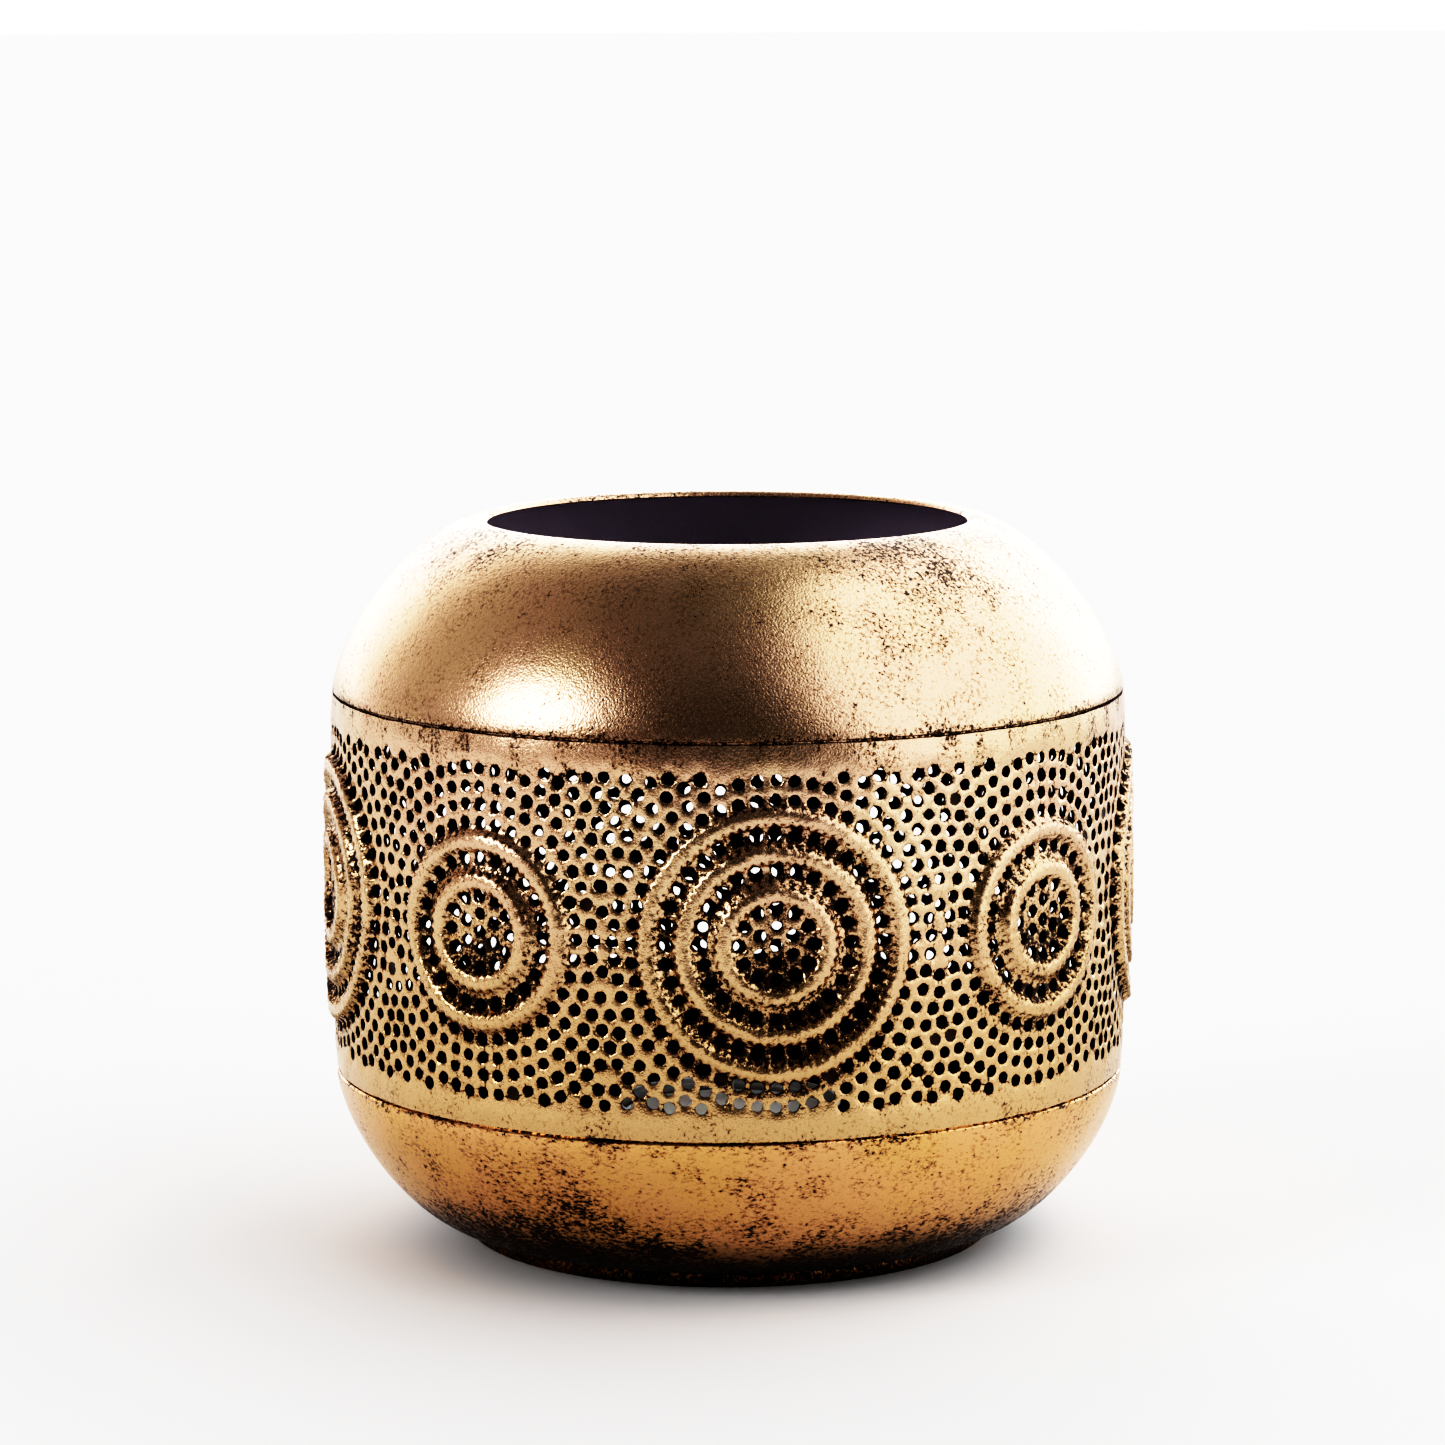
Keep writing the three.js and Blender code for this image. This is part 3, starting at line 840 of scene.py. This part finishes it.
def spun_bowl(gold, dark):
    """Bowl: flat floor, belly, joggle, and the collar inside the band."""
    head = BAND_LOW - SEAM
    floor_top = BOWL_UNDERSIDE + SHEET
    outside = shell_curve((BOWL_RADIUS, head - 0.25), (FLOOR_RADIUS, BOWL_UNDERSIDE),
                          BOWL_FULLNESS, 46)[::-1]
    inside = shell_curve((BOWL_RADIUS - SHEET, head - SHEET), (FLOOR_RADIUS, floor_top),
                         BOWL_FULLNESS, 30)
    outline = [
        (0.0, BOWL_UNDERSIDE),
        *[(FLOOR_RADIUS * share, BOWL_UNDERSIDE) for share in (0.3, 0.6, 0.85)],
        *outside,
        (BOWL_RADIUS - 0.25, head),
        (SPIGOT_RADIUS, head),
        (SPIGOT_RADIUS, BOWL_COLLAR),
        (SPIGOT_RADIUS - SHEET, BOWL_COLLAR),
        (SPIGOT_RADIUS - SHEET, head - SHEET),
        *inside,
        *[(FLOOR_RADIUS * share, floor_top) for share in (0.85, 0.6, 0.3)],
        (0.0, floor_top),
    ]
    sides = 240
    vertices, faces = turned(outline, sides, hand_spun(0.14, 11))
    piece = make_piece("spun_bowl", vertices, faces, [gold, dark], "holder",
                       "lower_bowl")
    gilded = 3 + len(outside) + 2  # bands of faces up to the joggle
    index = [0 if face // sides < gilded else 1 for face in range(len(faces))]
    index[-2 * sides:-sides] = [0] * sides  # the fan that closes the underside
    piece.data.polygons.foreach_set("material_index", index)


def foot(metal):
    """Foot ring soldered under the bowl, its edges rounded off by wear."""
    inner = FOOT_RADIUS - 3.6
    outline = [
        *arc((inner + 0.4, 0.4), 0.4, 180, 270, 3),
        *arc((FOOT_RADIUS - 0.9, 0.9), 0.9, 270, 360, 5),
        *arc((FOOT_RADIUS - 0.3, FOOT_TOP - 0.3), 0.3, 0, 90, 2),
        (inner, FOOT_TOP),
    ]
    vertices, faces = turned(outline, 180, hand_spun(0.06, 21))
    make_piece("foot", vertices, faces, metal, "holder", "foot_ring")


def seat_dish(metal):
    """Saucer on the bowl's floor, its rim flared and rolled over."""
    outside = SEAT_HIGH.y - 1.2
    low, high = SEAT_LOW.z, SEAT_HIGH.z
    outline = [
        (0.0, low),
        *[(outside * share, low) for share in (0.4, 0.8)],
        *arc((outside - 0.9, low + 0.9), 0.9, 270, 360, 5),
        (outside, high - 1.8),
        *arc((outside + 1.4, high - 1.8), 1.4, 180, 105, 4),
        *arc((outside + 0.9, high - 0.3), 0.3, 60, 110, 2),
        *arc((outside + 1.4, high - 1.8), 1.4 + SHEET, 115, 180, 4),
        (outside - SHEET, low + 1.5),
        *arc((outside - 1.1, low + 1.1), 0.55, 0, -90, 4),
        *[(outside * share, low + SHEET) for share in (0.8, 0.4)],
        (0.0, low + SHEET),
    ]
    vertices, faces = turned(outline, 120)
    make_piece("seat_dish", vertices, faces, metal, "holder",
               "tealight_seat")


# ---------------------------------------------------------------- the tealight
def foil_cup(metal):
    """Drawn cup: rounded base edge, slightly tapering wall, rolled rim."""
    radius, low, high = CUP_HIGH.y, CUP_LOW.z, CUP_HIGH.z
    wall, sheet = radius - 0.35, 0.22
    outline = [
        (0.0, low + 0.35),
        (radius - 6.0, low + 0.35),
        (radius - 5.0, low),
        (radius - 2.6, low),
        *arc((wall - 1.5, low + 1.5), 1.5, 285, 360, 6),
        (wall, high - 0.75),
        *arc((wall - 0.02, high - 0.38), 0.37, -80, 150, 8),
        (wall - sheet - 0.02, high - 0.75),
        (wall - sheet, low + 1.6),
        *arc((wall - 1.5, low + 1.5), 1.5 - sheet, 0, -75, 5),
        (radius - 5.0, low + sheet),
        (radius - 6.0, low + 0.35 + sheet),
        (0.0, low + 0.35 + sheet),
    ]
    vertices, faces = turned(outline, 144)
    make_piece("foil_cup", vertices, faces, metal, "tealight",
               "tealight_cup")


def wax_fill(wax):
    """Wax: hollow round the wick tab, a meniscus at the cup and round the wick."""
    radius, low, high = WAX_HIGH.y, WAX_LOW.z, WAX_HIGH.z
    tab, wick = TAB_HIGH.x + 0.3, WICK_HIGH.y + 0.1
    outline = [
        (tab, low),
        *arc((radius - 1.2, low + 1.2), 1.2, 270, 360, 4),
        (radius, high - 0.3),
        (radius - 0.12, high),
        (radius - 0.5, high - 0.28),
        (radius - 1.2, high - 0.42),
        (radius - 3.0, high - 0.48),
        *[(radius * share, high - 0.5) for share in (0.7, 0.5, 0.3)],
        (wick + 2.2, high - 0.48),
        (wick + 0.9, high - 0.32),
        (wick, high + 0.1),
        (wick, TAB_HIGH.z + 0.4),
        (wick + 1.2, TAB_HIGH.z + 0.4),
        (wick + 1.2, low + 1.0),
        (tab, low + 1.0),
    ]
    vertices, faces = turned(outline, 120)
    make_piece("wax_fill", vertices, faces, wax, "tealight", "tealight_wax",
               smooth=50)


def wick_disc(metal):
    """Wick tab: pressed disc with a rounded edge and a crimped collar."""
    radius, low, high = TAB_HIGH.x, TAB_LOW.z, TAB_HIGH.z
    bore = WICK_HIGH.y + 0.05
    outline = [
        (bore, low),
        (radius - 0.2, low),
        (radius, low + 0.2),
        (radius - 0.15, low + 0.4),
        (bore + 0.8, low + 0.4),
        *arc((bore + 0.8, low + 0.9), 0.5, 270, 180, 3),
        (bore + 0.3, high - 0.1),
        (bore + 0.15, high),
        (bore, high - 0.1),
    ]
    vertices, faces = turned(outline, 48)
    make_piece("wick_disc", vertices, faces, metal, "tealight", "wick_tab")


def wick_braid(fibre):
    """Wick: three strands braided round each other, leaning a little at the top."""
    low, high, radius = WICK_LOW.z, WICK_HIGH.z, WICK_HIGH.y
    rings, sides = 60, 18
    vertices, faces = [], []
    for ring in range(rings + 1):
        share = ring / rings
        height = low + (high - low) * share
        lean = 0.55 * max(0.0, share - 0.7) ** 2 / 0.09
        taper = 1.0 if share < 0.97 else 0.6
        for side in range(sides):
            angle = math.tau * side / sides
            strand = 0.80 + 0.20 * abs(math.cos(1.5 * angle + height * 1.9))
            reach = radius * strand * taper
            vertices.append((lean * 0.5 + reach * math.cos(angle), reach * math.sin(angle), height))
    for ring in range(rings):
        for side in range(sides):
            beside = (side + 1) % sides
            base = ring * sides
            faces.append((base + side, base + beside, base + sides + beside, base + sides + side))
    faces.append(tuple(range(sides))[::-1])
    faces.append(tuple(rings * sides + i for i in range(sides)))
    make_piece("wick_braid", vertices, faces, fibre, "tealight",
               "tealight_wick", smooth=60)


# ---------------------------------------------------------------- studio
CAMERA_LENS = 131.02
CAMERA_DISTANCE = 0.880
CAMERA_ELEVATION = 8.43
CAMERA_AIM = Vector((-0.00093, 0.0, 0.0858))
CAMERA_ROLL = 0.19
FLOOR_HALF_SIDE = 12.0
FLOOR_FRONT = -0.36
WARM_LIGHT = (1.0, 0.91, 0.88)
BACKDROP = 2.0  # brightness of the paper behind, as the camera sees it
TONE_WHITE = 2.0
TONE_CURVE = ((0.06, 0.004), (0.12, 0.020), (0.2, 0.065), (0.35, 0.235), (0.6, 0.54),
              (0.9, 0.79), (1.2, 0.905), (1.55, 0.968))


def make_camera():
    """Long lens, a little above the holder and square to its front."""
    data = bpy.data.cameras.new("camera")
    data.lens = CAMERA_LENS
    data.sensor_width = 36.0
    data.clip_end = 50.0
    camera = bpy.data.objects.new("camera", data)
    bpy.context.scene.collection.objects.link(camera)
    tilt = math.radians(CAMERA_ELEVATION)
    back = Vector((0.0, -math.cos(tilt), math.sin(tilt)))
    camera.location = CAMERA_AIM + back * CAMERA_DISTANCE
    camera.rotation_mode = "QUATERNION"
    look = (-back).to_track_quat("-Z", "Y")
    camera.rotation_quaternion = look @ Euler((0, 0, math.radians(-CAMERA_ROLL))).to_quaternion()
    bpy.context.scene.camera = camera


def make_floor():
    """A wide pale table top."""
    mesh = bpy.data.meshes.new("floor")
    side, front = FLOOR_HALF_SIDE, FLOOR_FRONT
    corners = [(-side, front, 0), (side, front, 0), (side, side, 0), (-side, side, 0)]
    mesh.from_pydata(corners, [], [(0, 1, 2, 3)])
    floor = bpy.data.objects.new("floor", mesh)
    bpy.context.scene.collection.objects.link(floor)
    g = Graph("pale_paper")
    g.set(base_color=g.mix(g.noise(30.0, 2.0), (0.93, 0.93, 0.94), (0.95, 0.95, 0.95)))
    g.set(roughness=0.8)
    mesh.materials.append(g.material)


def make_studio():
    """Studio as a surround: a bright wall to the right, a softbox upper left, pale walls behind
    and to the left, and a dark ceiling and dark space behind the camera."""
    world = bpy.data.worlds.new("studio")
    bpy.context.scene.world = world
    g = Graph("studio", world)
    split = g.nodes.new("ShaderNodeSeparateXYZ")
    g.put(split.inputs[0], g.direction)
    right, back, up = split.outputs
    leaning = g.math("ADD", right, g.math("MULTIPLY", up, 0.41))
    wall = g.step(leaning, 0.565, 0.70, 0.0, 2.1)
    left = g.step(right, -0.25, -0.95, 0.0, 0.43)
    behind = g.math("ADD", g.step(back, 0.42, 0.97, 0.0, 3.4), g.step(back, -0.1, 0.6, 0.0, 0.35))
    box = aimed(g, -61, 24)
    softbox = g.step(box, cosine(19), cosine(7), 0.0, 7.0)
    aside = g.step(g.math("ABSOLUTE", right), 0.15, 0.6, 0.46, 1.15)
    ground = g.math("MULTIPLY", g.step(up, 0.0, -0.1), aside)
    light = g.math("ADD", g.math("ADD", wall, left), g.math("ADD", behind, softbox))
    ceiling = g.step(up, 0.55, 0.93, 0.14, 0.27)
    light = g.math("ADD", g.math("MAXIMUM", light, ground), ceiling)
    seen = g.nodes.new("ShaderNodeLightPath").outputs["Is Camera Ray"]
    room = g.nodes["Background"]
    warm = g.math("MULTIPLY", g.step(right, 0.0, -0.6),
                  g.step(box, cosine(24), cosine(14), 1.0, 0.0))
    g.put(room.inputs["Color"], g.mix(warm, (1.0, 1.0, 1.0), WARM_LIGHT))
    g.put(room.inputs["Strength"], light)
    paper = g.nodes.new("ShaderNodeBackground")
    g.put(paper.inputs["Color"], (1, 1, 1, 1))
    g.put(paper.inputs["Strength"], BACKDROP)
    choose = g.nodes.new("ShaderNodeMixShader")
    g.put(choose.inputs[0], seen)
    g.links.new(room.outputs[0], choose.inputs[1])
    g.links.new(paper.outputs[0], choose.inputs[2])
    g.links.new(choose.outputs[0], g.nodes["World Output"].inputs[0])


def cosine(degrees):
    return math.cos(math.radians(degrees))


def aimed(g, azimuth, elevation):
    """Cosine of the angle to a direction given as degrees right of the camera and up."""
    a, e = math.radians(azimuth), math.radians(elevation)
    node = g.nodes.new("ShaderNodeVectorMath")
    node.operation = "DOT_PRODUCT"
    g.put(node.inputs[0], g.direction)
    node.inputs[1].default_value = (math.sin(a) * math.cos(e), -math.cos(a) * math.cos(e),
                                    math.sin(e))
    return node.outputs["Value"]


def set_tone():
    """The camera's response: deeper shadows and a soft shoulder, the same for each colour."""
    view = bpy.context.scene.view_settings
    view.view_transform = "Standard"
    view.use_curve_mapping = True
    mapping = view.curve_mapping
    mapping.white_level = (TONE_WHITE, TONE_WHITE, TONE_WHITE)
    for level, shown in TONE_CURVE:
        mapping.curves[3].points.new(level / TONE_WHITE, shown)
    mapping.update()


def main():
    inside = inside_metal()
    # painted shade: the foot under the bowl and the dish inside it get the bowl's gold, made evenly
    # darker, with denser flecks low down
    shade_gold = antique_gold("darkened_gold", ORANGE_GOLD, COPPER_GOLD,
                            lambda g: (g.step(g.height(), 1.0, 9.0, 0.6, 0.45), 0.55))
    banded = antique_gold("band_gold", YELLOW_GOLD, ROSE_GOLD, band_patina, 0.6, low_shade=LOW_SHADE_GOLD)
    domed = antique_gold("dome_gold", YELLOW_GOLD, ROSE_GOLD, dome_patina, clump=0.34)
    bowled = antique_gold("bowl_gold", ORANGE_GOLD, COPPER_GOLD, bowl_patina_and_shade, 0.55, (0.6, 0.6, 1))
    pierced_band([banded, inside])
    spun_dome(domed, inside)
    spun_bowl(bowled, inside)
    foot(shade_gold)
    seat_dish(shade_gold)
    foil_cup(foil())
    wax_fill(paraffin())
    wick_disc(tinplate())
    wick_braid(cotton())
    make_floor()
    make_studio()
    make_camera()
    set_tone()


main()
